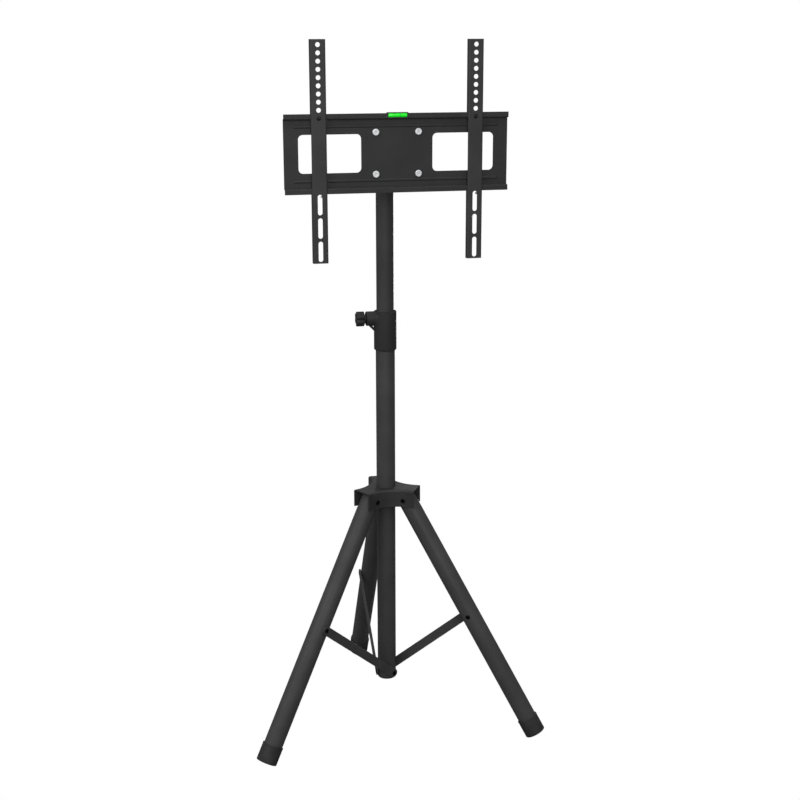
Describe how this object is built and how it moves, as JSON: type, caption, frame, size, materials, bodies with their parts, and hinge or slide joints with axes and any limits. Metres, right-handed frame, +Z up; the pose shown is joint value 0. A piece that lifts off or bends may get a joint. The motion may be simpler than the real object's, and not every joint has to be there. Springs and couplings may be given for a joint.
{
  "type": "tripod display stand",
  "caption": "Tripod floor stand for a flat display: folding tube legs with braces, telescopic mast with clamp collar, tilting head, and a slotted plate with hooked arms.",
  "frame": {"origin": "centre of the open stand's footprint box on the floor, below the mast and in front of its axis by the rear leg's longer reach", "axes": "+Z up along the mast; the display faces -Y; the third leg points to +Y; +X is to the right of a viewer who faces the display"},
  "size_m": [0.6232, 0.5458, 1.4637],
  "materials": {
    "tube_black": "satin black powder coat on steel tube",
    "sheet_black": "satin black powder coat on pressed steel sheet",
    "arm_black": "satin black powder coat on folded steel sheet",
    "brace_black": "satin black powder coat on flat steel bar",
    "rivet_black": "black oxide rivet with a blind bore",
    "cap_rubber": "black moulded rubber, fine grain",
    "collar_plastic": "black moulded plastic, fine matte grain",
    "knob_plastic": "black moulded plastic, matte",
    "nylon": "natural nylon",
    "zinc_steel": "zinc-plated steel",
    "zinc_bright": "bright zinc-plated steel",
    "brass_insert": "machined brass",
    "level_tray": "black moulded plastic, slight gloss",
    "vial_green": "bright green transparent acrylic vial with liquid"
  },
  "bodies": {
    "base": {"lower_tube": "tube_black", "column_end_cap": "cap_rubber", "column_rivets": "rivet_black", "collar": "collar_plastic", "collar_insert": "brass_insert", "clamp_pad": "nylon"},
    "clamp_knob": {"collar_knob": "knob_plastic", "collar_stud": "zinc_steel"},
    "hub": {"hub_bracket": "sheet_black", "hub_sleeve": "sheet_black", "hub_nut": "zinc_steel", "hub_rivets": "rivet_black", "hub_washers": "nylon"},
    "hub_lock": {"hub_lock_knob": "knob_plastic", "hub_lock_screw": "zinc_steel"},
    "leg_left": {"leg_left": "tube_black", "foot_left": "cap_rubber", "leg_rivet_left": "rivet_black"},
    "leg_right": {"leg_right": "tube_black", "foot_right": "cap_rubber", "leg_rivet_right": "rivet_black"},
    "leg_rear": {"leg_rear": "tube_black", "foot_rear": "cap_rubber", "leg_rivet_rear": "rivet_black"},
    "brace_left": {"brace_left": "brace_black", "brace_rivet_left": "rivet_black"},
    "brace_right": {"brace_right": "brace_black", "brace_rivet_right": "rivet_black"},
    "brace_rear": {"brace_rear": "brace_black", "brace_rivet_rear": "rivet_black"},
    "mast": {"mast": "tube_black", "mast_guide": "nylon", "mast_cap": "cap_rubber"},
    "head": {"head_socket": "sheet_black", "head_nut": "zinc_steel", "tilt_bolt": "zinc_steel"},
    "head_lock": {"head_lock_knob": "knob_plastic", "head_lock_screw": "zinc_steel"},
    "display_mount": {"tilt_bracket": "sheet_black", "mounting_plate": "sheet_black", "plate_bolts": "zinc_bright", "plate_nuts": "zinc_steel", "level_frame": "level_tray", "level_vial": "vial_green"},
    "tilt_lock": {"tilt_knob": "knob_plastic", "tilt_knob_nut": "brass_insert", "tilt_washer": "zinc_steel"},
    "arm_left": {"arm_left": "arm_black"},
    "arm_right": {"arm_right": "arm_black"},
    "safety_left": {"safety_screw_left": "zinc_steel"},
    "safety_right": {"safety_screw_right": "zinc_steel"}
  },
  "joints": [
    {"name": "mast_height", "type": "slide", "parent": "base", "child": "mast", "axis": [0, 0, 1], "range_m": [-0.24, 0.16]},
    {"name": "clamp_knob_turn", "type": "hinge", "parent": "base", "child": "clamp_knob", "pos_m": [0, -0.08314, 0.904], "axis": [-1, 0, 0], "range_deg": [0, 360]},
    {"name": "hub_slide", "type": "slide", "parent": "base", "child": "hub", "axis": [0, 0, 1], "range_m": [0, 0.12304]},
    {"name": "hub_lock_turn", "type": "hinge", "parent": "hub", "child": "hub_lock", "pos_m": [0, -0.08314, 0.51631], "axis": [0.866, 0.5, 0], "range_deg": [0, 360]},
    {"name": "leg_left_fold", "type": "hinge", "parent": "hub", "child": "leg_left", "pos_m": [-0.0394, -0.10589, 0.51621], "axis": [0.5, -0.866, 0], "range_deg": [0, 30.05]},
    {"name": "leg_right_fold", "type": "hinge", "parent": "hub", "child": "leg_right", "pos_m": [0.0394, -0.10589, 0.51621], "axis": [0.5, 0.866, 0], "range_deg": [0, 30.05]},
    {"name": "leg_rear_fold", "type": "hinge", "parent": "hub", "child": "leg_rear", "pos_m": [0, -0.03764, 0.51621], "axis": [-1, 0, 0], "range_deg": [0, 30.05]},
    {"name": "brace_left_fold", "type": "hinge", "parent": "base", "child": "brace_left", "pos_m": [0.01125, -0.10262, 0.11009], "axis": [0.5, -0.866, 0], "range_deg": [-39.7, 0]},
    {"name": "brace_right_fold", "type": "hinge", "parent": "base", "child": "brace_right", "pos_m": [0.01125, -0.06365, 0.11009], "axis": [0.5, 0.866, 0], "range_deg": [-39.7, 0]},
    {"name": "brace_rear_fold", "type": "hinge", "parent": "base", "child": "brace_rear", "pos_m": [-0.0225, -0.08314, 0.11009], "axis": [-1, 0, 0], "range_deg": [-39.7, 0]},
    {"name": "head_swivel", "type": "hinge", "parent": "mast", "child": "head", "pos_m": [0, -0.08314, 1.2512], "axis": [0, 0, 1], "range_deg": [-180, 180]},
    {"name": "head_lock_turn", "type": "hinge", "parent": "head", "child": "head_lock", "pos_m": [0, -0.08314, 1.2212], "axis": [0, 1, 0], "range_deg": [0, 360]},
    {"name": "display_tilt", "type": "hinge", "parent": "head", "child": "display_mount", "pos_m": [0, -0.14514, 1.2512], "axis": [1, 0, 0], "range_deg": [-15, 15]},
    {"name": "tilt_lock_turn", "type": "hinge", "parent": "head", "child": "tilt_lock", "pos_m": [0.03, -0.14514, 1.2512], "axis": [1, 0, 0], "range_deg": [0, 360]},
    {"name": "arm_left_slide", "type": "slide", "parent": "display_mount", "child": "arm_left", "axis": [1, 0, 0], "range_m": [-0.0465, 0.1035]},
    {"name": "arm_right_slide", "type": "slide", "parent": "display_mount", "child": "arm_right", "axis": [1, 0, 0], "range_m": [-0.1035, 0.0465]},
    {"name": "safety_left_turn", "type": "hinge", "parent": "arm_left", "child": "safety_left", "pos_m": [-0.1435, -0.20914, 1.1707], "axis": [1, 0, 0], "range_deg": [0, 360]},
    {"name": "safety_right_turn", "type": "hinge", "parent": "arm_right", "child": "safety_right", "pos_m": [0.1635, -0.20914, 1.1707], "axis": [1, 0, 0], "range_deg": [0, 360]}
  ],
  "couplings": [
    {"joint": "leg_left_fold", "follows": "hub_slide", "rad_per_m": 4.2555},
    {"joint": "leg_right_fold", "follows": "hub_slide", "rad_per_m": 4.2555},
    {"joint": "leg_rear_fold", "follows": "hub_slide", "rad_per_m": 4.2555},
    {"joint": "brace_left_fold", "follows": "hub_slide", "rad_per_m": -5.6194},
    {"joint": "brace_right_fold", "follows": "hub_slide", "rad_per_m": -5.6194},
    {"joint": "brace_rear_fold", "follows": "hub_slide", "rad_per_m": -5.6194}
  ]
}
